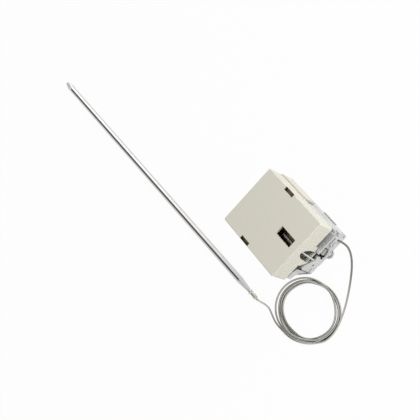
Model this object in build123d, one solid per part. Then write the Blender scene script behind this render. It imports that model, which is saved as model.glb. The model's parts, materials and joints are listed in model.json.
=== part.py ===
from build123d import *
import math
import os

# Oven thermostat of the capillary type, in millimetres.
# The origin is the centre of the front plate's outer face, on the spindle axis.
# +Z points out of the casing's back, +X to the end where the capillary leaves.

# Casing
cover_length = 42.0
cover_width = 35.0
cover_depth = 12.5
cover_wall = 1.5
back_wall = 1.6
cover_corner = 0.9
cover_edge = 0.5
base_proud = 0.6
base_wall = 1.2
base_depth = 11.5
base_deep_end = -1.5
base_corner = 1.2
base_end_wall = 5.6
ledge_thickness = 1.3
ledge_inset = 3.0

# Openings in the cover
window_length = 10.6
window_width = 4.9
window_x = 11.7
window_y = 0.4
clip_window_length = 6.3
clip_window_width = 1.9
clip_x = -3.5
arch_width = 6.7
arch_rise = 6.7
arch_spring = 2.5
arch_drop = 4.1
arch_y = -0.6
tongue_drop = 5.0
tongue_left = -7.3
tongue_right = 3.0
shoulder_drop = 3.2
shoulder_right = 5.5

# Chassis of folded sheet
sheet = 1.2
plate_left_inset = 2.0
plate_right_inset = 0.8
plate_clearance = 0.1
plate_corner_cut = 2.4
bend_radius = 1.0
end_bend_radius = 1.8
fixing_spacing = 28.0
fixing_hole = 3.3
collar_diameter = 6.0
collar_height = 2.0
flange_start = -8.0
near_flange_short = 6.7
near_flange_raised = 12.0
flange_slot_length = 11.0
flange_slot_x = 4.5
flange_slot_z = 9.2
flange_slot_width = 1.3
rail_length = 9.2
rail_x = 6.8
rail_proud = 0.6
end_wall_left = 12.6
end_wall_high = 15.8
end_wall_step = 3.2
end_wall_corner = 14.2
wall_slot_left = 4.3
wall_slot_right = 6.85
wall_slot_top = 10.3
shelf_clearance = 0.1
capsule_clearance = 0.2
corner_notches = ((3.0, 4.4), (9.6, 12.8))
wing_width = 6.6
wing_gap = 0.9
wing_top = 15.4
wing_foot = 3.2
lip_reach = 2.6
lip_inset = 1.3
far_wall_height = 9.0
far_wall_half = 12.0
ear_overhang = 0.9
ear_y = 4.2
ear_radius = 2.6

# Spindle and its stop
spindle_diameter = 6.0
spindle_length = 23.0
flat_length = 14.0
flat_thickness = 4.6
journal_diameter = 7.0
journal_below = 4.9
screw_diameter = 4.8
screw_end = 0.2
bush_diameter = 9.0
bush_shank = 8.2
bush_relief = 0.3
bush_below = 3.5
bush_head = 2.3
running_fit = 0.06
clip_groove = 3.65
clip_groove_depth = 0.7
clip_diameter = 8.6
clip_thickness = 0.6
disc_thickness = 1.0
disc_diameter = 13.0
disc_tab_reach = 9.0
disc_tab_width = 3.0
disc_gap = 0.15
stop_width = 10.2
stop_face = 7.9
stop_overlap = 0.75
spindle_range = 270.0
post_width = 2.0
post_above_nut = 0.1

# Lever, spring and nut
pivot_x = -12.0
pivot_drop = 2.3
pivot_pin = 2.0
pivot_pin_length = 15.6
ear_inner = 6.0
pivot_ear_half = 2.5
lever_sheet = 1.0
lever_half = 5.6
lever_past_button = 3.0
lever_rim_depth = 2.4
lever_rim_end = 3.4
screw_hole = 7.0
nut_size = 8.4
nut_height = 3.0
nut_to_cover = 0.4
spring_height = 4.6
spring_diameter = 7.6
spring_wire = 0.9
spring_turns = 4
moving_gap = 0.12

# Fluid capsule
capsule_from_axis = 4.5
capsule_to_end = 2.7
capsule_height = 2.4
button_height = 2.7
button_diameter = 4.0
holder_sheet = 1.2
shelf_gap = 0.35
shelf_width = 12.0
leg_left = -8.3
leg_right = 6.4
leg_bottom = 3.4
leg_top = 16.0
leg_right_top = 10.4
leg_notch_left = 1.5
leg_notch_right = 3.0
leg_notch_bottom = 8.2
inner_y = 1.8
inner_end_z = 11.4
inner_bend = 1.2
inner_sweep = 4.0
inner_gap = 0.15

# Switch
switch_plate_thickness = 1.4
board_gap = 0.5
pin_beside_nut = 1.3
pin_diameter = 3.0
calibration_diameter = 3.0
calibration_rise = 1.7
strip = 0.8
tab_width = 6.3
tab_length = 7.6
tab_inset = 9.0
tab_drop = 8.5
riser_inset = 4.0
contact_inset = 6.0
contact_diameter = 4.0
contact_height = 1.2
contact_gap = 0.1
contact_strip_half = 2.4
blade_sheet = 0.4
blade_width = 5.6
blade_from_riser = 8.0
blade_overhang = 2.6
blade_slot_margin = 4.0
blade_slot_width = 0.9
blade_y = 0.5
rivet_diameter = 2.0

# Clips, latch strip and earth tab
clip_sheet = 0.7
clip_width = 6.0
clip_foot = 4.0
hook_reach = 1.0
latch_sheet = 0.7
latch_y = -0.6
latch_inset = 12.3
latch_over_blade = 1.2
latch_arm_height = 1.2
latch_past_blade = 0.3
latch_foot = 0.8
latch_reach = 2.0
earth_tab_x = -9.4
earth_tab_inside = 5.0
earth_tab_outside = 5.8

# Capillary, coil and bulb
capillary_diameter = 1.1
clamp_left = 9.4
clamp_right = 15.0
clamp_bottom = 7.3
clamp_top = 13.0
clamp_thickness = 2.4
clamp_rivet_diameter = 2.4
clamp_rivet_z = 10.5
clamp_rivet_inset = 1.8
exit_y = 14.0
exit_z = 10.6
coil_x = 22.4
coil_y = -29.8
coil_major = 20.4
coil_minor = 17.8
coil_angle = 22.0
coil_inner_major = 16.4
coil_inner_minor = 14.4
coil_inner_shift = 1.5
coil_layers = 2.6
bulb_diameter = 4.0
bulb_near_x = -10.2
bulb_near_y = -47.95
bulb_far_x = -227.9
bulb_far_y = -57.7
bulb_taper = 9.0
bulb_tip = 9.0
neck_diameter = 2.2
neck_length = 3.4
crimp_diameter = 3.0
crimp_length = 2.2
crimp_rounding = 0.9
ferrule_diameter = 2.5
ferrule_length = 2.8
sleeve_diameter = 1.5
sleeve_length = 1.0

# How far a cutting shape runs past the surface that it cuts
past = 1.0

# Heights, stacked from the front plate to the back of the casing
floor_z = -spindle_length
bush_top = sheet + bush_head
disc_bottom = bush_top + disc_gap
disc_top = disc_bottom + disc_thickness
stop_height = disc_top + stop_overlap
shelf_bottom = disc_top + shelf_gap
capsule_bottom = shelf_bottom + holder_sheet
capsule_top = capsule_bottom + capsule_height
lever_under = capsule_top + button_height
lever_top = lever_under + lever_sheet
pivot_z = lever_top - pivot_drop
calibration_top = lever_top + calibration_rise
nut_bottom = lever_top + spring_height
nut_top = nut_bottom + nut_height
post_height = nut_top + post_above_nut
screw_top = nut_top + screw_end
cover_bottom = screw_top + nut_to_cover
plate_top = cover_bottom + switch_plate_thickness
fixed_contact_top = plate_top + strip + contact_height
blade_bottom = fixed_contact_top + contact_gap + contact_height
blade_top = blade_bottom + blade_sheet
line_strip_bottom = blade_bottom - strip
latch_arm_z = blade_top + latch_over_blade
body_depth = cover_bottom + cover_depth
base_bottom = cover_bottom - base_depth
ledge_bottom = cover_bottom - ledge_thickness
flange_height = ledge_bottom
arch_top = cover_bottom + arch_rise
arch_bottom = cover_bottom - arch_drop
arch_springing = cover_bottom - arch_spring
tongue_bottom = cover_bottom - tongue_drop
tab_z = cover_bottom - tab_drop

# Lengths and widths that follow from the casing
end_face = cover_length / 2
cavity_half_length = end_face - cover_wall
cavity_half_width = cover_width / 2 - cover_wall
base_half_width = cover_width / 2 + base_proud
base_half_length = end_face + base_proud
plate_left = -end_face + plate_left_inset
plate_right = end_face - plate_right_inset
plate_half_width = base_half_width - base_wall - plate_clearance
near_flange_end = plate_right - near_flange_short
flange_inner = plate_half_width - sheet
far_flange_end = plate_right - plate_corner_cut
end_inner = plate_right - sheet
wing_right = -plate_half_width + wing_width
wall_left = wing_right + wing_gap
lip_end = plate_half_width - lip_inset
clip_inner = flange_inner - clip_sheet
capsule_radius = (plate_right - capsule_from_axis - capsule_to_end) / 2
capsule_x = capsule_from_axis + capsule_radius
lever_end = capsule_x + lever_past_button
pin_x = (nut_size + pin_diameter) / 2 + pin_beside_nut
riser_x = -end_face + riser_inset
tab_y = cover_width / 2 - tab_inset
contact_x = end_face - contact_inset
blade_fixed_x = riser_x + blade_from_riser
blade_left = blade_fixed_x - blade_overhang
blade_end = contact_x + blade_overhang
board_half_length = cavity_half_length - board_gap
latch_inner = cavity_half_length - latch_inset
latch_rise = blade_end + latch_past_blade
earth_reach = plate_half_width + earth_tab_outside
clamp_face = plate_right + clamp_thickness
capillary_radius = capillary_diameter / 2
floor_line = floor_z + capillary_radius
bulb_radius = bulb_diameter / 2
bulb_axis_z = floor_z + bulb_radius


def block(x_from, x_to, y_from, y_to, z_from, z_to):
    """A plain bar between two corners."""
    middle = ((x_from + x_to) / 2, (y_from + y_to) / 2, (z_from + z_to) / 2)
    return Pos(*middle) * Box(x_to - x_from, y_to - y_from, z_to - z_from)


def between(x_from, x_to, half_width):
    """A flat rectangle between two places along X, even about the X axis."""
    return Pos((x_from + x_to) / 2, 0) * Rectangle(x_to - x_from, 2 * half_width)


def rod(diameter, x, y, z_from, z_to):
    """A round bar along Z."""
    return Pos(x, y, (z_from + z_to) / 2) * Cylinder(diameter / 2, z_to - z_from)


def rod_y(diameter, x, z, y_from, y_to):
    """A round bar along Y."""
    bar = Cylinder(diameter / 2, y_to - y_from)
    return Pos(x, (y_from + y_to) / 2, z) * Rot(90, 0, 0) * bar


def rod_x(diameter, y, z, x_from, x_to):
    """A round bar along X."""
    bar = Cylinder(diameter / 2, x_to - x_from)
    return Pos((x_from + x_to) / 2, y, z) * Rot(0, 90, 0) * bar


def lifted(outline, z_from, z_to):
    """A flat outline drawn from above, raised between two heights."""
    return extrude(Plane.XY.offset(z_from) * outline, z_to - z_from)


def wall_x(outline, x_from, x_to):
    """An outline drawn as (y, z), thickened along X."""
    return extrude(Plane.YZ.offset(x_from) * outline, x_to - x_from)


def tube(points, diameter, radii):
    """A round bar that follows straight runs joined by arcs."""
    path = FilletPolyline(*points, radius=radii)
    section = Plane(origin=path @ 0, z_dir=path % 0) * Circle(diameter / 2)
    return sweep(section, path=path)


def casing_cover():
    outline = RectangleRounded(cover_length, cover_width, cover_corner)
    shell = lifted(outline, cover_bottom, body_depth)
    top_edges = shell.faces().sort_by(Axis.Z)[-1].edges()
    shell = fillet(top_edges, cover_edge)
    tongue = Polygon(
        (tongue_left, cover_bottom + past),
        (tongue_left + 0.4, cover_bottom - 1.6),
        (tongue_left + 2.6, tongue_bottom),
        (tongue_right, tongue_bottom),
        (tongue_right, cover_bottom - shoulder_drop),
        (shoulder_right, cover_bottom - shoulder_drop),
        (shoulder_right, cover_bottom + past),
        align=None,
    )
    shell += wall_x(tongue, end_face - cover_wall, end_face)
    cavity = Rectangle(2 * cavity_half_length, 2 * cavity_half_width)
    shell -= lifted(cavity, tongue_bottom - past, body_depth - back_wall)
    through_back = (body_depth - back_wall - past, body_depth + past)
    window = RectangleRounded(window_length, window_width, 0.4)
    shell -= lifted(Pos(window_x, window_y) * window, *through_back)
    for side in (-1, 1):
        slot = Rectangle(clip_window_length, clip_window_width)
        slot_y = side * (cavity_half_width + 0.45)
        shell -= lifted(Pos(clip_x, slot_y) * slot, *through_back)
    arch = Ellipse(arch_width / 2, arch_top - arch_springing)
    upper_half = Pos(0, arch_rise) * Rectangle(arch_width, 2 * arch_rise)
    foot_height = arch_springing - arch_bottom
    arch = (arch & upper_half) + Pos(0, -foot_height / 2) * Rectangle(arch_width, foot_height)
    arch = Pos(arch_y, arch_springing) * arch
    shell -= wall_x(arch, cavity_half_length - past, end_face + past)
    return shell


def casing_base():
    half = base_half_width
    left = -base_half_length
    right = end_inner
    outline = Polygon(
        (left + base_corner, -half),
        (right, -half),
        (right, half),
        (left + base_corner, half),
        (left, half - base_corner),
        (left, -half + base_corner),
        align=None,
    )
    deep = outline & between(left, base_deep_end, half)
    body = lifted(deep, base_bottom, cover_bottom)
    shelf = between(base_deep_end, right, cavity_half_width + cover_wall - 0.3)
    body += lifted(shelf, ledge_bottom, cover_bottom)
    inner_half = half - base_wall
    hollow = between(left + base_wall, right + past, inner_half)
    body -= lifted(hollow, base_bottom - past, ledge_bottom)
    well = between(left + base_end_wall, right + past, inner_half - ledge_inset)
    body -= lifted(well, ledge_bottom - past, cover_bottom + past)
    through_ledge = (ledge_bottom - past, cover_bottom + past)
    for side in (-1, 1):
        clip_slot = Rectangle(clip_width + 1.0, clip_sheet + 1.5)
        clip_slot = Pos(clip_x, side * (clip_inner + clip_sheet / 2)) * clip_slot
        body -= lifted(clip_slot, *through_ledge)
        tab_slot = Rectangle(2 * (base_wall + past), tab_width + 0.4)
        tab_slot = Pos(left, side * tab_y) * tab_slot
        body -= lifted(tab_slot, tab_z - 0.15, tab_z + strip + 0.15)
        riser_slot = Pos(riser_x, side * tab_y) * Rectangle(strip + 0.5, tab_width + 0.6)
        body -= lifted(riser_slot, *through_ledge)
    return body


def front_outline():
    """The flat front plate seen along the spindle, with its cut corners."""
    cut = plate_corner_cut
    return Polygon(
        (plate_left + cut, -plate_half_width),
        (near_flange_end, -plate_half_width),
        (plate_right, wall_left),
        (plate_right, plate_half_width),
        (plate_left + cut, plate_half_width),
        (plate_left, plate_half_width - cut),
        (plate_left, -plate_half_width + cut),
        align=None,
    )


def end_wall():
    """The folded wall at the capillary end, drawn as (y, z), with the gap over the shelf."""
    slot_half = shelf_width / 2 + shelf_clearance
    slot_bottom = shelf_bottom - shelf_clearance
    return Polygon(
        (wall_left, 0.0),
        (plate_half_width, 0.0),
        (plate_half_width, end_wall_corner),
        (lip_end, end_wall_corner),
        (lip_end, end_wall_high),
        (end_wall_step, end_wall_high),
        (end_wall_step, slot_bottom),
        (-slot_half, slot_bottom),
        (-slot_half, end_wall_left - 0.4),
        (wall_left, end_wall_left),
        align=None,
    )


def coil_wing():
    """The tab folded off the near flange, beside the end wall, drawn as (y, z)."""
    outer = -plate_half_width
    return Polygon(
        (outer, wing_top),
        (wing_right - 2.8, wing_top),
        (wing_right, wing_top - 1.5),
        (wing_right - 0.1, wing_foot),
        (wing_right - 0.8, wing_foot + 2.0),
        (wing_right - 2.2, wing_foot + 6.2),
        (wing_right - 3.6, wing_foot + 7.6),
        (outer, wing_foot + 9.2),
        align=None,
    )


def chassis():
    plate = lifted(front_outline(), 0.0, sheet)
    far_side = (flange_inner, plate_half_width)
    near_side = (-plate_half_width, -flange_inner)
    far_flange = block(flange_start, far_flange_end, *far_side, 0, flange_height)
    far_flange += block(far_flange_end, end_inner, *far_side, 0, end_wall_corner)
    near_flange = block(flange_start, near_flange_end, *near_side, 0, flange_height)
    near_flange += block(near_flange_end, end_inner, *near_side, near_flange_raised, flange_height)
    body = plate + far_flange + near_flange
    body += wall_x(end_wall(), end_inner, plate_right)
    body += wall_x(coil_wing(), end_inner, plate_right)
    lip_height = (end_wall_high, end_wall_high + sheet)
    body += block(end_inner, plate_right + lip_reach, end_wall_step, lip_end, *lip_height)
    body += block(plate_left, plate_left + sheet, -far_wall_half, far_wall_half, 0, far_wall_height)
    fold_edges = body.edges().filter_by(Axis.X).group_by(Axis.Z)[0]
    fold_edges = fold_edges.sort_by(SortBy.LENGTH)[-2:]
    body = fillet(fold_edges, bend_radius)
    bend_x = plate_right - end_bend_radius
    bend_from = wall_left - past
    bend_to = plate_half_width + past
    outside_bend = block(bend_x, plate_right + past, bend_from, bend_to, -past, end_bend_radius)
    bend_rod = rod_y(2 * end_bend_radius, bend_x, end_bend_radius, bend_from - past, bend_to + past)
    body -= outside_bend - bend_rod
    body += lifted(Pos(plate_right - ear_overhang, ear_y) * Circle(ear_radius), 0.0, sheet)
    rail = Pos(rail_x, plate_half_width, bend_radius + rail_proud)
    body += rail * Box(rail_length, 2 * rail_proud, 2 * rail_proud)
    through_wall = (end_inner - past, plate_right + past)
    for notch in corner_notches:
        body -= block(far_flange_end, plate_right + past, lip_end, plate_half_width + past, *notch)
    body -= block(*through_wall, wall_slot_left, wall_slot_right, capsule_top, wall_slot_top)
    for side in (-1, 1):
        x = side * fixing_spacing / 2
        body += rod(collar_diameter, x, 0, 0, sheet + collar_height)
        body -= rod(fixing_hole, x, 0, -past, sheet + collar_height + past)
        ear = block(pivot_x - pivot_ear_half, pivot_x + pivot_ear_half, 0, sheet, 0, pivot_z + pivot_ear_half)
        ear = fillet(ear.edges().filter_by(Axis.Y).sort_by(Axis.Z)[-2:], pivot_ear_half - 0.3)
        y = ear_inner if side > 0 else -ear_inner - sheet
        body += Pos(0, y, 0) * ear
    body -= rod_y(pivot_pin, pivot_x, pivot_z, -flange_inner, flange_inner)
    body -= rod(bush_shank, 0, 0, -past, sheet + past)
    slot = Pos(flange_slot_x, 0, flange_slot_z)
    body -= slot * Box(flange_slot_length, 2 * (plate_half_width + past), flange_slot_width)
    body += block(-stop_width / 2, stop_width / 2, -stop_face - sheet, -stop_face, 0, stop_height)
    body += block(-post_width / 2, post_width / 2, -stop_face - sheet, -stop_face, 0, post_height)
    tab_gap = Pos(earth_tab_x, -flange_inner, sheet + strip / 2)
    body -= tab_gap * Box(tab_width + 0.3, 4 * sheet, strip + 0.2)
    shelf_slot = (shelf_bottom - shelf_clearance, capsule_top + capsule_clearance)
    slot_half = shelf_width / 2 + shelf_clearance
    body -= block(*through_wall, -slot_half, slot_half, *shelf_slot)
    return body


def spindle_bush():
    collar = rod(bush_diameter, 0, 0, -bush_below, -bush_relief)
    collar = chamfer(collar.faces().sort_by(Axis.Z)[0].edges(), 0.5)
    shank = rod(bush_shank, 0, 0, -bush_relief, sheet)
    head = rod(bush_diameter + 2.0, 0, 0, sheet, bush_top)
    bore = rod(journal_diameter + 2 * running_fit, 0, 0, -bush_below - past, bush_top + past)
    return collar + shank + head - bore


def spindle():
    shaft = rod(spindle_diameter, 0, 0, floor_z, -journal_below)
    shaft = chamfer(shaft.faces().sort_by(Axis.Z)[0].edges(), 0.5)
    flat_face = flat_thickness - spindle_diameter / 2
    shaft -= block(-spindle_diameter, spindle_diameter, flat_face, spindle_diameter,
                   floor_z - past, floor_z + flat_length)
    shaft += rod(journal_diameter, 0, 0, -journal_below, disc_bottom)
    groove = Circle(journal_diameter) - Circle(journal_diameter / 2 - clip_groove_depth)
    shaft -= lifted(groove, -clip_groove - clip_thickness, -clip_groove)
    shaft += rod(screw_diameter, 0, 0, disc_bottom, screw_top)
    return chamfer(shaft.faces().sort_by(Axis.Z)[-1].edges(), 0.4)


def spindle_clip():
    ring = Circle(clip_diameter / 2) - Circle(journal_diameter / 2 - clip_groove_depth)
    ring -= Pos(0, -clip_diameter / 2) * Rectangle(3.4, clip_diameter)
    return lifted(ring, -clip_groove - clip_thickness, -clip_groove)


def stop_disc():
    disc = Circle(disc_diameter / 2)
    tab = Pos(disc_tab_reach / 2, 0) * Rectangle(disc_tab_reach, disc_tab_width)
    disc += Rot(0, 0, -90 + (360 - spindle_range) / 2) * tab
    disc -= Circle(screw_diameter / 2)
    return lifted(disc, disc_bottom, disc_top)


def adjusting_nut():
    nut = RectangleRounded(nut_size, nut_size, 0.6)
    fork_tip = -stop_face - sheet - 0.6
    nut += Pos(0, (fork_tip - nut_size / 2) / 2) * Rectangle(5.0, -fork_tip - nut_size / 2 + 0.4)
    nut -= Circle(screw_diameter / 2 + moving_gap)
    notch_length = sheet + 2.0
    notch = Pos(0, -stop_face + moving_gap - notch_length / 2) * Rectangle(post_width + 2 * moving_gap, notch_length)
    nut -= notch
    return lifted(nut, nut_bottom, nut_top)


def set_spring():
    bottom = lever_top + moving_gap
    top = nut_bottom - moving_gap
    pitch = (top - bottom - spring_wire) / spring_turns
    radius = (spring_diameter - spring_wire) / 2
    coils = Helix(pitch=pitch, height=pitch * spring_turns, radius=radius)
    section = Plane(origin=coils @ 0, z_dir=coils % 0) * Circle(spring_wire / 2)
    return Pos(0, 0, bottom + spring_wire / 2) * sweep(section, path=coils, is_frenet=True)


def pressure_lever():
    left = pivot_x - 2.2
    web = block(left, lever_end, -lever_half, lever_half, lever_under, lever_top)
    web = fillet(web.edges().filter_by(Axis.Z), 1.0)
    for side in (-1, 1):
        y_in = side * (lever_half - lever_sheet)
        y_out = side * lever_half
        rim = block(left, lever_rim_end, min(y_in, y_out), max(y_in, y_out), lever_top - lever_rim_depth, lever_under)
        web += rim
        cheek = Polygon(
            (left, lever_under),
            (left, pivot_z - 1.2),
            (left + 1.2, pivot_z - 2.2),
            (pivot_x + 1.6, pivot_z - 2.2),
            (pivot_x + 3.4, lever_top - lever_rim_depth),
            (pivot_x + 3.4, lever_under),
            align=None,
        )
        cheek = extrude(Plane.XZ.offset(-max(y_in, y_out)) * cheek, lever_sheet)
        web += cheek
    through_web = (lever_under - past, lever_top + past)
    web -= rod_y(pivot_pin + 2 * running_fit, pivot_x, pivot_z, -lever_half - past, lever_half + past)
    web -= rod(screw_hole, 0, 0, *through_web)
    web -= rod(calibration_diameter, pin_x, 0, *through_web)
    return web


def lever_pin():
    half = pivot_pin_length / 2
    pin = rod_y(pivot_pin, pivot_x, pivot_z, -half, half)
    head = ear_inner + sheet
    pin += rod_y(pivot_pin + 1.2, pivot_x, pivot_z, head, half)
    pin += rod_y(pivot_pin + 1.2, pivot_x, pivot_z, -half, -head)
    return pin


def calibration_screw():
    screw = rod(calibration_diameter, pin_x, 0, lever_under - 0.1, calibration_top)
    screw = chamfer(screw.faces().sort_by(Axis.Z)[-1].edges(), 0.3)
    return screw


def insulating_pin():
    bottom = calibration_top + moving_gap
    top = blade_bottom - moving_gap
    pin = rod(pin_diameter, pin_x, 0, bottom, top)
    return fillet(pin.faces().sort_by(Axis.Z)[-1].edges(), 0.8)


def capsule_holder():
    shelf = block(capsule_x - capsule_radius - 0.6, plate_right, -shelf_width / 2, shelf_width / 2,
                  shelf_bottom, capsule_bottom)
    shelf = fillet(shelf.edges().filter_by(Axis.Z).sort_by(Axis.X)[:2], 4.0)
    step = leg_top - 3.6
    outline = Polygon(
        (leg_left + 0.8, leg_bottom + 1.3),
        (-5.1, leg_bottom + 1.3),
        (-2.6, leg_bottom),
        (leg_right, leg_bottom),
        (leg_right, leg_right_top),
        (leg_notch_right, leg_right_top),
        (leg_notch_right, leg_notch_bottom),
        (leg_notch_left, leg_notch_bottom),
        (1.2, step),
        (0.6, step),
        (-0.4, step - 1.3),
        (-1.5, step - 1.1),
        (-4.6, leg_top - 1.5),
        (leg_left + 0.9, leg_top),
        (leg_left, leg_top - 0.9),
        (leg_left, leg_bottom + 2.1),
        align=None,
    )
    leg = wall_x(outline, plate_right, plate_right + holder_sheet)
    holder = shelf + leg
    through_leg = (plate_right - past, plate_right + holder_sheet + past)
    holder -= rod_x(1.3, -4.1, 9.1, *through_leg)
    passage = Rectangle(capillary_diameter + 1.2, capsule_height)
    holder -= wall_x(Pos(inner_y, capsule_bottom + capsule_height / 2 + 0.1) * passage, *through_leg)
    holder -= rod(screw_diameter + 1.0, 0, 0, shelf_bottom - past, capsule_bottom + past)
    return holder


def holder_rivets():
    rivets = Compound(children=[holder_rivet(y, z) for y, z in ((-7.1, 6.6), (5.1, 4.6))])
    return rivets


def holder_rivet(y, z):
    head = rod_x(2.0, y, z, plate_right + holder_sheet, plate_right + holder_sheet + 0.6)
    return fillet(head.faces().sort_by(Axis.X)[-1].edges(), 0.4)


def capsule():
    middle = (capsule_bottom + capsule_top) / 2
    profile = Polyline(
        (0, capsule_bottom),
        (capsule_radius - 1.6, capsule_bottom),
        (capsule_radius - 1.2, middle - 0.35),
        (capsule_radius, middle - 0.35),
        (capsule_radius, middle + 0.35),
        (capsule_radius - 1.2, middle + 0.35),
        (capsule_radius - 1.8, capsule_top - 0.2),
        (capsule_radius - 3.2, capsule_top - 0.2),
        (capsule_radius - 3.6, capsule_top),
        (0, capsule_top),
        (0, capsule_bottom),
    )
    disc = revolve(make_face(Plane.XZ * profile), Axis.Z)
    return Pos(capsule_x, 0, 0) * disc


def capsule_button():
    bottom = capsule_top + moving_gap
    top = lever_under - moving_gap
    button = rod(button_diameter, capsule_x, 0, bottom, top)
    return fillet(button.faces().sort_by(Axis.Z)[-1].edges(), 0.5)


def capillary_inner():
    z = (capsule_bottom + capsule_top) / 2
    outside = plate_right + holder_sheet + capillary_radius + inner_gap
    points = [
        (capsule_x + capsule_radius - 0.1, inner_y, z),
        (outside, inner_y, z),
        (outside + 0.3, (inner_y + clamp_left) / 2, z + 0.6),
        (outside, clamp_left, inner_end_z),
    ]
    return tube(points, capillary_diameter, [inner_bend, inner_sweep])


def capillary_clamp():
    outline = Pos((clamp_left + clamp_right) / 2, (clamp_bottom + clamp_top) / 2)
    outline = outline * RectangleRounded(clamp_right - clamp_left, clamp_top - clamp_bottom, 0.7)
    clamp = wall_x(outline, plate_right, clamp_face)
    return fillet(clamp.faces().sort_by(Axis.X)[-1].edges(), 0.4)


def clamp_rivet():
    y = clamp_left + clamp_rivet_inset
    head = rod_x(clamp_rivet_diameter, y, clamp_rivet_z, clamp_face, clamp_face + 0.6)
    return fillet(head.faces().sort_by(Axis.X)[-1].edges(), 0.4)


def switch_plate():
    half = clip_inner - 0.3
    plate = RectangleRounded(2 * board_half_length, 2 * half, 1.0)
    board = lifted(plate, cover_bottom, plate_top)
    board += block(blade_left - 0.4, blade_fixed_x + 2.6, -3.0, 4.4, plate_top, line_strip_bottom)
    through_board = (cover_bottom - past, plate_top + past)
    board -= rod(pin_diameter + 0.5, pin_x, 0, *through_board)
    for side in (-1, 1):
        gap = Pos(riser_x, side * tab_y) * Rectangle(strip + 0.4, tab_width + 0.4)
        board -= lifted(gap, *through_board)
    return board


def terminal_tab(side):
    """A push-on tab with its riser, at one side of the casing."""
    tip = -base_half_length - tab_length
    y = side * tab_y
    tab = Pos((tip + riser_x) / 2, y) * Rectangle(riser_x - tip + strip / 2 + 0.05, tab_width)
    tab = lifted(tab, tab_z, tab_z + strip)
    tab = chamfer(tab.edges().filter_by(Axis.Z).sort_by(Axis.X)[:2], 1.2)
    tab -= rod(1.6, tip + 3.2, y, tab_z - past, tab_z + strip + past)
    return tab


def line_terminal():
    tab = terminal_tab(1)
    top = blade_bottom
    half = strip / 2
    y_from = tab_y - tab_width / 2
    y_to = tab_y + tab_width / 2
    tab += block(riser_x - half, riser_x + half, y_from, y_to, tab_z, top)
    tab += block(riser_x - half, blade_fixed_x + 2.2, y_from, y_to, top - strip, top)
    tab += block(blade_left, blade_fixed_x + 2.2, blade_y - blade_width / 2, y_to, top - strip, top)
    return tab


def load_terminal():
    tab = terminal_tab(-1)
    top = plate_top + strip
    half = strip / 2
    y_from = -tab_y - tab_width / 2
    y_to = -tab_y + tab_width / 2
    tab += block(riser_x - half, riser_x + half, y_from, y_to, tab_z, top)
    strip_left = contact_x - contact_strip_half
    strip_right = contact_x + contact_strip_half
    tab += block(riser_x - half, strip_right, y_from, y_to, plate_top, top)
    tab += block(strip_left, strip_right, y_from, blade_y + contact_strip_half, plate_top, top)
    return tab


def fixed_contact():
    return domed(contact_x, blade_y, plate_top + strip, fixed_contact_top)


def moving_contact():
    return domed(contact_x, blade_y, fixed_contact_top + contact_gap, blade_bottom)


def domed(x, y, z_from, z_to):
    """A silver contact button."""
    button = rod(contact_diameter, x, y, z_from, z_to)
    return fillet(button.edges().filter_by(GeomType.CIRCLE), 0.25)


def snap_blade():
    outline = RectangleRounded(blade_end - blade_left, blade_width, 1.2)
    blade = Pos((blade_left + blade_end) / 2, blade_y) * outline
    slot_left = blade_fixed_x + blade_slot_margin
    slot_right = contact_x - contact_diameter - blade_slot_margin
    side_slot = Rectangle(slot_right - slot_left, blade_slot_width)
    for side in (-1, 1):
        blade -= Pos((slot_left + slot_right) / 2, blade_y + side * blade_width / 4) * side_slot
    blade -= Pos(blade_fixed_x, blade_y) * Circle(rivet_diameter / 2 + running_fit)
    return lifted(blade, blade_bottom, blade_top)


def blade_rivet():
    head_bottom = blade_top + moving_gap
    rivet = rod(rivet_diameter, blade_fixed_x, blade_y, blade_bottom, head_bottom)
    head = rod(rivet_diameter + 1.6, blade_fixed_x, blade_y, head_bottom, head_bottom + 0.8)
    return rivet + fillet(head.faces().sort_by(Axis.Z)[-1].edges(), 0.4)


def latch_strip():
    """The narrow strip on edge that stands on the board, passes over the blade's end
    and leaves through the arch, over the tongue."""
    arm_top = latch_arm_z + latch_arm_height
    outer_x = end_face + latch_reach
    outline = Polyline(
        (latch_inner, latch_arm_z),
        (latch_inner, arm_top),
        (latch_rise + latch_foot, arm_top),
        (latch_rise + latch_foot, arch_top - 2.6),
        (outer_x, arch_bottom - 0.6),
        (outer_x - 0.7, arch_bottom - 1.0),
        (latch_rise + latch_foot, plate_top + 0.9),
        (latch_rise + latch_foot, plate_top),
        (latch_rise, plate_top),
        (latch_rise, latch_arm_z),
        (latch_inner, latch_arm_z),
    )
    face = make_face(Plane.XZ.offset(-latch_y) * outline)
    return extrude(face, latch_sheet / 2, both=True)


def cover_clips():
    clips = []
    for side in (-1, 1):
        inner = side * clip_inner
        outer = side * flange_inner
        left = clip_x - clip_width / 2
        right = clip_x + clip_width / 2
        hook_top = body_depth - back_wall - 0.2
        hook_bottom = hook_top - clip_sheet
        hook_end = side * (cavity_half_width + hook_reach)
        stem = block(left, right, min(inner, outer), max(inner, outer), clip_foot, hook_top)
        hook = block(left, right, min(inner, hook_end), max(inner, hook_end), hook_bottom, hook_top)
        clips.append(stem + hook)
    return Compound(children=clips)


def earth_tab():
    inner = flange_inner - earth_tab_inside
    tab = Pos(earth_tab_x, -(inner + earth_reach) / 2) * Rectangle(tab_width, earth_reach - inner)
    tab = lifted(tab, sheet, sheet + strip)
    tab = chamfer(tab.edges().filter_by(Axis.Z).sort_by(Axis.Y)[:2], 1.2)
    return tab - rod(1.6, earth_tab_x, -earth_reach + 3.2, sheet - past, sheet + strip + past)


def earth_rivet():
    head = rod(3.0, earth_tab_x, -flange_inner + 3.2, sheet + strip, sheet + strip + 0.8)
    return fillet(head.faces().sort_by(Axis.Z)[-1].edges(), 0.4)


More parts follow.
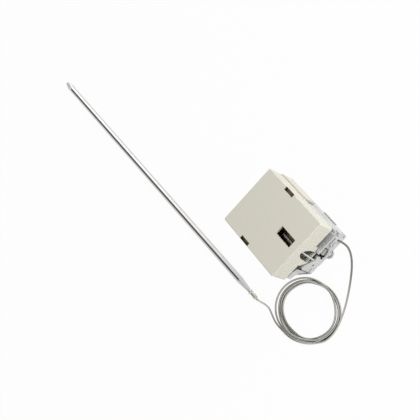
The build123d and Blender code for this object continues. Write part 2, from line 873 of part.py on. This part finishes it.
def corner_radii(points):
    """The arc for each corner: 0.45 of the shorter run over the tangent of half the turn."""
    radii = []
    for before, here, after in zip(points, points[1:], points[2:]):
        run_in = Vector(*here) - Vector(*before)
        run_out = Vector(*after) - Vector(*here)
        half_turn = math.radians(run_in.get_angle(run_out)) / 2
        radii.append(0.45 * min(run_in.length, run_out.length) / math.tan(half_turn))
    return radii


def bulb_direction():
    near = Vector(bulb_near_x, bulb_near_y, bulb_axis_z)
    far = Vector(bulb_far_x, bulb_far_y, bulb_axis_z)
    return (far - near).normalized()


def bulb_point(distance):
    """A point on the bulb's axis, so far from the bulb's near end."""
    return Vector(bulb_near_x, bulb_near_y, bulb_axis_z) + bulb_direction() * distance


lead_points = [
    (clamp_face, exit_y, exit_z),
    (25.4, 15.1, 7.6),
    (28.1, 13.4, 3.1),
    (30.5, 9.4, -2.0),
    (32.8, 3.6, -7.4),
    (35.5, -3.8, -12.8),
    (38.6, -12.7, -18.1),
    (41.6, -23.6, floor_line),
]

sleeve_end = bulb_point(-neck_length - ferrule_length - sleeve_length)

tail_points = [
    (20.4, -47.9, floor_line),
    (14.6, -48.3, floor_line),
    (9.8, -47.1, floor_line),
    (5.6, -45.7, -22.2),
    (2.4, -45.9, -21.5),
    (-1.2, -47.1, -21.0),
    (sleeve_end.X, sleeve_end.Y, sleeve_end.Z),
]


def capillary(name, points):
    radii = corner_radii(points)
    solid = tube(points, capillary_diameter, radii)
    run = sum((Vector(*b) - Vector(*a)).length for a, b in zip(points, points[1:]))
    ideal = math.pi * capillary_radius ** 2 * run
    shown = ", ".join(f"{radius:.1f}" for radius in radii)
    print(f"{name}: runs {run:.1f} mm, radii {shown}, volume {solid.volume:.2f} of {ideal:.2f}")
    return solid


def coil_ring():
    height = coil_layers * capillary_diameter
    outer = Pos(coil_x, coil_y) * Rot(0, 0, coil_angle) * Ellipse(coil_major, coil_minor)
    shift_x = coil_x + coil_inner_shift
    shift_y = coil_y + coil_inner_shift * 0.6
    inner = Pos(shift_x, shift_y) * Rot(0, 0, coil_angle) * Ellipse(coil_inner_major, coil_inner_minor)
    return lifted(outer - inner, floor_z, floor_z + height)


def along_bulb(shape, distance):
    """Places a shape made along +Z on the bulb's axis, so far from its near end."""
    seat = Plane(origin=bulb_point(distance), x_dir=(0, 0, 1), z_dir=bulb_direction())
    return seat.location * shape


def bulb():
    near = Vector(bulb_near_x, bulb_near_y)
    length = (Vector(bulb_far_x, bulb_far_y) - near).length
    straight = length - bulb_tip
    profile = Polyline(
        (0, 0),
        (neck_diameter / 2, 0),
        (bulb_radius, bulb_taper),
        (bulb_radius, straight),
        (0, straight),
        (0, 0),
    )
    body = revolve(make_face(Plane.XZ * profile), Axis.Z)
    tip = loft([
        Plane.XY.offset(straight) * Circle(bulb_radius),
        Plane.XY.offset(straight + bulb_tip * 0.45) * Ellipse(bulb_radius * 0.62, bulb_radius * 1.05),
        Plane.XY.offset(length) * Ellipse(bulb_radius * 0.2, bulb_radius * 0.34),
    ])
    crimp = Pos(0, 0, -crimp_length / 2) * Cylinder(crimp_diameter / 2, crimp_length)
    crimp = fillet(crimp.edges().filter_by(GeomType.CIRCLE), crimp_rounding)
    neck = Pos(0, 0, -neck_length / 2) * Cylinder(neck_diameter / 2, neck_length)
    return along_bulb(body + tip + crimp + neck, 0)


def bulb_ferrule():
    """The soldered collar on the bulb's neck, with the short sleeve that takes the tube."""
    collar = Pos(0, 0, -neck_length - ferrule_length / 2) * Cylinder(ferrule_diameter / 2, ferrule_length)
    collar = fillet(collar.edges().filter_by(GeomType.CIRCLE), 0.4)
    sleeve_middle = -neck_length - ferrule_length - sleeve_length / 2
    sleeve = Pos(0, 0, sleeve_middle) * Cylinder(sleeve_diameter / 2, sleeve_length)
    return along_bulb(collar + sleeve, 0)


def write(name, shape):
    export_step(shape, f"parts/{name}.step")


os.makedirs("parts", exist_ok=True)
write("casing_cover", casing_cover())
write("casing_base", casing_base())
write("chassis", chassis())
write("spindle_bush", spindle_bush())
write("spindle", spindle())
write("spindle_clip", spindle_clip())
write("stop_disc", stop_disc())
write("adjusting_nut", adjusting_nut())
write("set_spring", set_spring())
write("pressure_lever", pressure_lever())
write("lever_pin", lever_pin())
write("calibration_screw", calibration_screw())
write("insulating_pin", insulating_pin())
write("capsule_holder", capsule_holder())
write("holder_rivets", holder_rivets())
write("capsule", capsule())
write("capsule_button", capsule_button())
write("capillary_inner", capillary_inner())
write("capillary_clamp", capillary_clamp())
write("clamp_rivet", clamp_rivet())
write("switch_plate", switch_plate())
write("line_terminal", line_terminal())
write("load_terminal", load_terminal())
write("fixed_contact", fixed_contact())
write("moving_contact", moving_contact())
write("snap_blade", snap_blade())
write("blade_rivet", blade_rivet())
write("latch_strip", latch_strip())
write("cover_clips", cover_clips())
write("earth_tab", earth_tab())
write("earth_rivet", earth_rivet())
write("capillary_lead", capillary("lead", lead_points))
write("capillary_coil", coil_ring())
write("capillary_tail", capillary("tail", tail_points))
write("bulb_ferrule", bulb_ferrule())
write("bulb", bulb())
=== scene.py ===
import json
import math

import bmesh
import bpy
from mathutils import Matrix, Vector


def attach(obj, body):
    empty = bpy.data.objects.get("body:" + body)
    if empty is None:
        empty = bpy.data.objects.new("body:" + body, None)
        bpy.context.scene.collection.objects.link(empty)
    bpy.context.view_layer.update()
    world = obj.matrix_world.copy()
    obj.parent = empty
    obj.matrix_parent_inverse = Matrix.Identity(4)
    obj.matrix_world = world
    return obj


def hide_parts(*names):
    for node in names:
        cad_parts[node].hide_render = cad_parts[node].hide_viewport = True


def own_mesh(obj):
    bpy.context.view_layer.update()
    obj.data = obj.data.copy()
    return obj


# Oven thermostat with its capillary coil and bulb, on a plain white floor.
# A length is in metres, unless its comment says millimetres.
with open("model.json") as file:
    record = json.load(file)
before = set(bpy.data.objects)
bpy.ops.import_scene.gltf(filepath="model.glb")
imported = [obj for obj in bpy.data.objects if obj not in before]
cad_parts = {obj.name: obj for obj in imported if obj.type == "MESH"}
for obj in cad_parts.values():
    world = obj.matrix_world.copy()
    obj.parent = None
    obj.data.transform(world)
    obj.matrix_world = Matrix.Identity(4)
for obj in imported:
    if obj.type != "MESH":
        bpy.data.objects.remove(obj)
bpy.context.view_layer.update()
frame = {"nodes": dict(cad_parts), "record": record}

MM = 0.001
nodes = frame["nodes"]

# Floor, under the spindle's end and the coil
floor_height = -23.0 * MM
floor_centre = (-80 * MM, -20 * MM)
floor_size = 1.6

# Camera, from the casing's edges in the photograph. Its place, lens and sensor are in millimetres
camera_place = (192.3, 78.4, 372.72)
camera_right = Vector((0.5374, 0.6473, -0.5406))
camera_down = Vector((0.6533, -0.7249, -0.2186))
camera_forward = Vector((-0.5334, -0.2357, -0.8124))
camera_lens = 69.857
camera_sensor = 36.0
nearest_seen = 0.01
farthest_seen = 10.0

# The capillary's route, in millimetres
capillary_diameter = 1.1
floor_line = -22.45
lead_points = [
    (22.6, 14.0, 10.6),
    (25.4, 15.1, 7.6),
    (28.1, 13.4, 3.1),
    (30.5, 9.4, -2.0),
    (32.8, 3.6, -7.4),
    (35.5, -3.8, -12.8),
    (38.6, -12.7, -18.1),
    (42.0, -23.4, -21.4),
]
tail_points = [
    (20.4, -47.9, -22.45),
    (14.6, -48.3, -22.45),
    (9.8, -47.1, -22.45),
    (5.6, -45.7, -22.2),
    (2.4, -45.9, -21.5),
    (-1.2, -47.1, -21.0),
    (-3.01, -47.63, -21.0),
]

# The coil, an ellipse as seen from above, in millimetres and degrees. The curve runs a little
# inside its points, and spline_pull makes up for that
coil_centre = (22.4, -29.8)
coil_major = 20.05
coil_minor = 17.25
coil_tilt = 22.0
coil_first = -6.0
coil_step = 18.0
spline_pull = 1.006
# How far each turn lies inside the outermost line, and how high over the floor,
# every 45 degrees from the lower right, clockwise as the camera sees it
station_step = 45.0
coil_stations = [
    (-0.95, 1.0), (0.55, 1.25), (0.65, 0.5), (0.0, 0.0),
    (0.0, 0.0), (0.0, 0.4), (0.95, 2.6), (2.2, 2.1),
    (2.85, 0.15), (2.4, 0.0), (3.95, 0.0), (4.5, 0.0),
    (4.2, 0.0), (2.55, 0.0), (1.7, 0.0), (1.35, 0.0),
    (1.55, 0.0), (1.2, 0.0), (2.8, 0.0), (3.35, 0.0),
    (3.0, 0.2), (1.95, 1.25), (1.3, 1.2), (0.75, 1.2),
    (0.85, 1.2), (1.75, 1.2), (1.7, 1.1), (2.2, 0.0),
    (1.85, 0.0), (1.35, 0.0), (0.55, 0.0), (0.2, 0.0),
    (0.2, 0.0), (0.0, 0.0), (-0.55, 0.0),
]

# How finely the tube is drawn, round it and along it
round_steps = 7
along_steps = 12

# The spring under the adjusting nut, with room for the lever's swing
spring_foot = 12.42 * MM
spring_share = 0.954

# Numbers of the sockets of a colour Mix node
MIX_A = 6
MIX_B = 7
MIX_OUT = 2

# Rays per shading point for rounded edges and for the painted shade in gaps
edge_samples = 6
gap_samples = 8


def smooth(t):
    return t * t * (3 - 2 * t)


def between(a, b, t):
    return a * (1 - t) + b * t


def scaled(colour, factor):
    return tuple(min(1.0, channel * factor) for channel in colour)


def opaque(colour):
    return (*colour, 1.0)


def show(name, data):
    """A new object in the scene."""
    made = bpy.data.objects.new(name, data)
    bpy.context.scene.collection.objects.link(made)
    return made


def make_camera():
    data = bpy.data.cameras.new("camera")
    data.lens = camera_lens
    data.sensor_width = camera_sensor
    data.clip_start = nearest_seen
    data.clip_end = farthest_seen
    camera = show("camera", data)
    turn = Matrix((camera_right, -camera_down, -camera_forward)).transposed()
    camera.matrix_world = Matrix.Translation(Vector(camera_place) * MM) @ turn.to_4x4()
    bpy.context.scene.camera = camera


def coil_radius(angle, inset):
    major = coil_major - inset
    minor = coil_minor - inset
    local = math.radians(angle - coil_tilt)
    return major * minor / math.hypot(minor * math.cos(local), major * math.sin(local))


def coil_points():
    """The four turns and a quarter, as one loop round the coil's centre."""
    points = []
    angle = coil_first
    last = -station_step * (len(coil_stations) - 1)
    while angle > last:
        place = -angle / station_step
        here = int(place)
        t = smooth(place - here)
        inset = between(coil_stations[here][0], coil_stations[here + 1][0], t)
        height = between(coil_stations[here][1], coil_stations[here + 1][1], t)
        radius = coil_radius(angle, inset) * spline_pull
        turn = math.radians(angle)
        x = coil_centre[0] + radius * math.cos(turn)
        y = coil_centre[1] + radius * math.sin(turn)
        points.append((x, y, floor_line + height))
        angle -= coil_step
    return points


def make_capillary():
    data = bpy.data.curves.new("capillary", "CURVE")
    data.dimensions = "3D"
    data.bevel_depth = capillary_diameter / 2 * MM
    data.bevel_resolution = round_steps
    data.resolution_u = along_steps
    data.use_fill_caps = True
    route = lead_points + coil_points() + tail_points
    spline = data.splines.new("NURBS")
    spline.points.add(len(route) - 1)
    for point, place in zip(spline.points, route):
        point.co = (place[0] * MM, place[1] * MM, place[2] * MM, 1.0)
    spline.order_u = 3
    spline.use_endpoint_u = True
    return show("capillary", data)


def make_spring():
    """The setting spring, a little shorter than its solid, so that the lever can lift it under the nut."""
    source = nodes["set_spring"]
    mesh = source.data.copy()
    mesh.transform(source.matrix_world)
    for vertex in mesh.vertices:
        vertex.co.z = between(spring_foot, vertex.co.z, spring_share)
    return show("pressure_spring", mesh)


class Tree:
    """A node tree, with short calls for adding and joining nodes."""

    def __init__(self, tree):
        self.tree = tree
        tree.nodes.clear()

    def add(self, kind, **values):
        node = self.tree.nodes.new(kind)
        for key, value in values.items():
            setattr(node, key, value)
        return node

    def link(self, a, out, b, into):
        self.tree.links.new(a.outputs[out], b.inputs[into])

    def ramp(self, source, out, stops):
        ramp = self.add("ShaderNodeValToRGB")
        elements = ramp.color_ramp.elements
        while len(elements) < len(stops):
            elements.new(0.5)
        for element, (position, colour) in zip(elements, stops):
            element.position = position
            element.color = opaque(colour)
        self.link(source, out, ramp, "Fac")
        return ramp

    def spread(self, source, out, low, high, start=0.3, end=0.7):
        """A value that runs from low to high while its source runs from start to end."""
        span = self.add("ShaderNodeMapRange")
        span.inputs["From Min"].default_value = start
        span.inputs["From Max"].default_value = end
        span.inputs["To Min"].default_value = low
        span.inputs["To Max"].default_value = high
        self.link(source, out, span, "Value")
        return span

    def combine(self, operation, a, a_out, b, b_out):
        node = self.add("ShaderNodeMath", operation=operation)
        self.link(a, a_out, node, 0)
        self.link(b, b_out, node, 1)
        return node

    def choose(self, share, share_out, low, high):
        """One shader where the share is 0, another where it is 1."""
        mix = self.add("ShaderNodeMixShader")
        self.link(share, share_out, mix, 0)
        self.link(low, 0, mix, 1)
        self.link(high, 0, mix, 2)
        return mix


class Finish(Tree):
    """A material's node tree, with what the finishes share."""

    def __init__(self, name):
        self.material = bpy.data.materials.new(name)
        self.material.use_nodes = True
        super().__init__(self.material.node_tree)
        self.output = self.add("ShaderNodeOutputMaterial")
        self.shader = self.add("ShaderNodeBsdfPrincipled")
        self.link(self.shader, "BSDF", self.output, "Surface")
        self.place = self.add("ShaderNodeTexCoord")

    def noise(self, scale, detail, stretch=(1, 1, 1)):
        mapping = self.add("ShaderNodeMapping")
        mapping.inputs["Scale"].default_value = stretch
        self.link(self.place, "Object", mapping, "Vector")
        noise = self.add("ShaderNodeTexNoise")
        noise.inputs["Scale"].default_value = scale
        noise.inputs["Detail"].default_value = detail
        noise.inputs["Roughness"].default_value = 0.55
        self.link(mapping, "Vector", noise, "Vector")
        return noise

    def multiply(self, colour, out, by, by_out, share=1.0):
        mix = self.add("ShaderNodeMix", data_type="RGBA", blend_type="MULTIPLY")
        mix.inputs["Factor"].default_value = share
        self.link(colour, out, mix, MIX_A)
        self.link(by, by_out, mix, MIX_B)
        return mix

    def by_height(self, colour, out, low, high, level):
        """Darkens a colour from one height up to another, down to a level."""
        parts = self.add("ShaderNodeSeparateXYZ")
        self.link(self.place, "Object", parts, "Vector")
        span = self.spread(parts, "Z", 1.0, level, low, high)
        return self.multiply(colour, out, span, "Result")

    def paint_gap_shade(self, colour, out, reach, deep, shut, clear):
        """The shader's colour, darker where little light comes in: painted shade in gaps and corners."""
        open_sky = self.add("ShaderNodeAmbientOcclusion", samples=gap_samples)
        open_sky.inputs["Distance"].default_value = reach
        level = self.spread(open_sky, "AO", deep, 1.0, shut, clear)
        mix = self.multiply(colour, out, level, "Result")
        self.link(mix, MIX_OUT, self.shader, "Base Color")

    def polish(self, grain, low, high):
        rough = self.spread(grain, "Fac", low, high)
        self.link(rough, "Result", self.shader, "Roughness")

    def bump(self, source, distance, strength=1.0, edge=0.0, after=None):
        bump = self.add("ShaderNodeBump")
        bump.inputs["Strength"].default_value = strength
        bump.inputs["Distance"].default_value = distance
        self.link(source, "Fac", bump, "Height")
        if edge:
            bevel = self.add("ShaderNodeBevel", samples=edge_samples)
            bevel.inputs["Radius"].default_value = edge
            self.link(bevel, "Normal", bump, "Normal")
        if after:
            self.link(after, "Normal", bump, "Normal")
        self.link(bump, "Normal", self.shader, "Normal")
        return bump


def metal(
    name, colour, rough, cloud, scale,
    stretch=(1, 1, 1), depth=0.004 * MM, edge=0.12 * MM,
    reach=2.2 * MM, deep=0.06, shut=0.2, clear=0.45,
    fade=None, metallic=1.0,
):
    """Plated or turned metal: cloudy colour, painted shade in gaps, uneven polish and fine scratches."""
    made = Finish(name)
    made.shader.inputs["Metallic"].default_value = metallic
    clouds = made.noise(scale * 0.25, 5.0)
    tint = made.ramp(clouds, "Fac", [
        (0.32, scaled(colour, 1 - cloud)),
        (0.5, colour),
        (0.68, scaled(colour, 1 + cloud * 0.6)),
    ])
    tint_out = "Color"
    if fade:
        tint = made.by_height(tint, tint_out, *fade)
        tint_out = MIX_OUT
    # Painted shade: the colour darkens in gaps and corners, where little light comes in
    made.paint_gap_shade(tint, tint_out, reach, deep, shut, clear)
    grain = made.noise(scale, 6.0, stretch)
    made.polish(grain, rough * 0.75, rough * 1.35)
    made.bump(grain, depth, edge=edge)
    return made.material


def moulding(name, colour, rough, warm, cool):
    """Moulded thermoset: slight clouds of warmer and cooler tone, painted shade in gaps, and a fine matt
    skin.
    """
    made = Finish(name)
    clouds = made.noise(85.0, 3.0)
    tint = made.ramp(clouds, "Fac", [
        (0.30, cool),
        (0.46, colour),
        (0.56, colour),
        (0.72, warm),
    ])
    flecks = made.noise(1900.0, 2.0)
    speck = made.ramp(flecks, "Fac", [
        (0.36, (0.93, 0.93, 0.92)),
        (0.5, (1.0, 1.0, 1.0)),
    ])
    mix = made.multiply(tint, "Color", speck, "Color", share=0.5)
    # Painted shade: the colour darkens in gaps and corners, where little light comes in
    made.paint_gap_shade(mix, MIX_OUT, reach=6 * MM, deep=0.12, shut=0.3, clear=0.6)
    skin = made.noise(2600.0, 5.0)
    made.polish(skin, rough * 0.85, rough * 1.2)
    wave = made.noise(140.0, 2.0)
    low = made.bump(wave, 0.015 * MM, 0.6, edge=0.2 * MM)
    made.bump(skin, 0.002 * MM, 0.7, after=low)
    return made.material


# Each material slot's finish. Colours are linear; reach, deep, shut and clear set the painted shade in
# gaps
finishes = {
    "thermoset": moulding(
        "thermoset_finish", (0.665, 0.645, 0.555), rough=0.48,
        warm=(0.685, 0.64, 0.565), cool=(0.645, 0.645, 0.55),
    ),
    # The insulator's brown is darker than its own tone: painted shade for the dim window it lies behind
    "insulator": moulding(
        "insulator_shaded_finish", (0.10, 0.055, 0.035), rough=0.45,
        warm=(0.13, 0.065, 0.04), cool=(0.08, 0.05, 0.035),
    ),
    "ceramic": moulding(
        "ceramic_finish", (0.52, 0.49, 0.40), rough=0.6,
        warm=(0.54, 0.49, 0.39), cool=(0.50, 0.49, 0.41),
    ),
    "zinc_steel": metal(
        "zinc_finish", (0.645, 0.645, 0.635), rough=0.38, cloud=0.06, scale=1100.0,
        depth=0.002 * MM, edge=0.25 * MM,
        reach=1.3 * MM, deep=0.02, shut=0.45, clear=0.66, metallic=0.5,
    ),
    "spring_steel": metal(
        "spring_finish", (0.42, 0.30, 0.20), rough=0.32, cloud=0.15, scale=1400.0, deep=0.2,
    ),
    "stainless": metal(
        "stainless_finish", (0.62, 0.61, 0.60), rough=0.14, cloud=0.06, scale=1300.0,
        stretch=(0.04, 1, 1), depth=0.001 * MM, edge=0.0,
    ),
    "spindle_steel": metal(
        "spindle_finish", (0.66, 0.66, 0.67), rough=0.22, cloud=0.10, scale=1500.0, stretch=(1, 1, 6),
    ),
    "brass": metal(
        "brass_finish", (0.72, 0.53, 0.26), rough=0.27, cloud=0.14, scale=1200.0,
    ),
    "silver": metal(
        "silver_finish", (0.86, 0.86, 0.84), rough=0.30, cloud=0.10, scale=1500.0,
    ),
    "contact_alloy": metal(
        "contact_finish", (0.42, 0.30, 0.20), rough=0.30, cloud=0.14, scale=1300.0,
    ),
    "solder": metal(
        "solder_finish", (0.66, 0.64, 0.53), rough=0.30, cloud=0.22, scale=1500.0,
        depth=0.02 * MM, edge=0.1 * MM,
    ),
}
capsule_finish = metal(
    "capsule_finish", (0.62, 0.60, 0.53), rough=0.34, cloud=0.08, scale=1300.0, deep=0.4, metallic=0.5,
)
capillary_finish = metal(
    "capillary_finish", (0.57, 0.555, 0.515), rough=0.16, cloud=0.05, scale=5000.0,
    depth=0.0002 * MM, edge=0.0,
    reach=0.8 * MM, deep=0.2, shut=0.45, clear=0.92, fade=(-21 * MM, -6 * MM, 0.42),
)


def dress_frame():
    slots = {part["node"]: part["material_slot"] for part in frame["record"]["subparts"]}
    for name, node in nodes.items():
        finish = finishes[slots[name]]
        if name.startswith("capsule") and slots[name] == "stainless":
            finish = capsule_finish
        if not node.material_slots:
            node.data.materials.append(finish)
        for place in node.material_slots:
            place.material = finish


def make_floor():
    """A pale floor that takes the object's shadow, and looks white to the camera and in metal."""
    mesh = bpy.data.meshes.new("floor")
    builder = bmesh.new()
    bmesh.ops.create_grid(builder, x_segments=1, y_segments=1, size=floor_size)
    builder.to_mesh(mesh)
    builder.free()
    floor = show("floor", mesh)
    floor.location = (*floor_centre, floor_height)
    white_share = 0.95
    made = Finish("floor_finish")
    made.shader.inputs["Base Color"].default_value = opaque((0.80, 0.80, 0.80))
    made.shader.inputs["Roughness"].default_value = 0.9
    glow = made.add("ShaderNodeEmission")
    glow.inputs["Color"].default_value = opaque((1.0, 1.0, 1.0))
    path = made.add("ShaderNodeLightPath")
    seen = made.combine("MAXIMUM", path, "Is Camera Ray", path, "Is Glossy Ray")
    clear = made.combine("MAXIMUM", seen, 0, path, "Is Transmission Ray")
    share = made.add("ShaderNodeMath", operation="MULTIPLY")
    share.inputs[1].default_value = white_share
    made.link(clear, 0, share, 0)
    mix = made.choose(share, 0, made.shader, glow)
    made.link(mix, "Shader", made.output, "Surface")
    mesh.materials.append(made.material)


def make_world():
    """A white tent with a dim patch and a bright panel, which give metal its dark line and its shine."""
    dim_side = Vector((-0.60, -0.25, 0.76)).normalized()
    dim_levels = [(0.0, 0.92), (0.86, 0.92), (0.93, 0.12), (0.985, 0.08)]
    panel_sides = [((-1.0, 0.0, 0.0), 0.50, 0.60), ((0.0, 0.85, 0.53), 0.25, 0.40)]
    panel_gain = 0.85
    even_level = 0.65

    world = bpy.data.worlds.new("studio")
    bpy.context.scene.world = world
    world.use_nodes = True
    studio = Tree(world.node_tree)
    output = studio.add("ShaderNodeOutputWorld")
    place = studio.add("ShaderNodeTexCoord")

    def facing(side):
        toward = studio.add("ShaderNodeVectorMath", operation="DOT_PRODUCT")
        toward.inputs[1].default_value = side
        studio.link(place, "Generated", toward, 0)
        return toward

    def background(level):
        made = studio.add("ShaderNodeBackground")
        made.inputs["Color"].default_value = opaque((level, level, level))
        return made

    stops = [(position, (level, level, level)) for position, level in dim_levels]
    dimmed = studio.ramp(facing(dim_side), "Value", stops)
    across, along = [
        studio.spread(facing(side), "Value", 0.0, 1.0, low, high) for side, low, high in panel_sides
    ]
    panel = studio.combine("MULTIPLY", across, "Result", along, "Result")
    strength = studio.add("ShaderNodeMath", operation="MULTIPLY_ADD")
    strength.inputs[1].default_value = panel_gain
    strength.inputs[2].default_value = 1.0
    studio.link(panel, 0, strength, 0)
    tent = studio.add("ShaderNodeBackground")
    studio.link(dimmed, "Color", tent, "Color")
    studio.link(strength, 0, tent, "Strength")

    path = studio.add("ShaderNodeLightPath")
    reflected = studio.choose(path, "Is Glossy Ray", background(even_level), tent)
    direct = studio.combine("MAXIMUM", path, "Is Camera Ray", path, "Is Transmission Ray")
    final = studio.choose(direct, 0, reflected, background(1.0))
    studio.link(final, 0, output, "Surface")


def make_lamp(name, direction, distance, size, power):
    """A square lamp that shines at the origin and isn't seen in metal."""
    data = bpy.data.lights.new(name, "AREA")
    data.shape = "SQUARE"
    data.size = size
    data.energy = power
    lamp = show(name, data)
    back = Vector(direction).normalized()
    lamp.location = back * distance
    lamp.rotation_mode = "QUATERNION"
    lamp.rotation_quaternion = back.to_track_quat("Z", "Y")
    lamp.visible_glossy = False


make_camera()
capillary = make_capillary()
capillary.data.materials.append(capillary_finish)
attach(capillary, "thermostat")
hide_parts("capillary_lead", "capillary_coil", "capillary_tail")
dress_frame()
spring = make_spring()
spring.data.materials.clear()
spring.data.materials.append(finishes["spring_steel"])
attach(spring, "lever")
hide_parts("set_spring")
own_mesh(spring)
make_floor()
make_world()
make_lamp("key", direction=(0.25, 0.72, 0.5), distance=0.9, size=0.5, power=3.8)
make_lamp("fill", direction=(0.75, 0.62, 0.4), distance=0.3, size=0.2, power=0.24)
bpy.context.scene.view_settings.view_transform = "Standard"
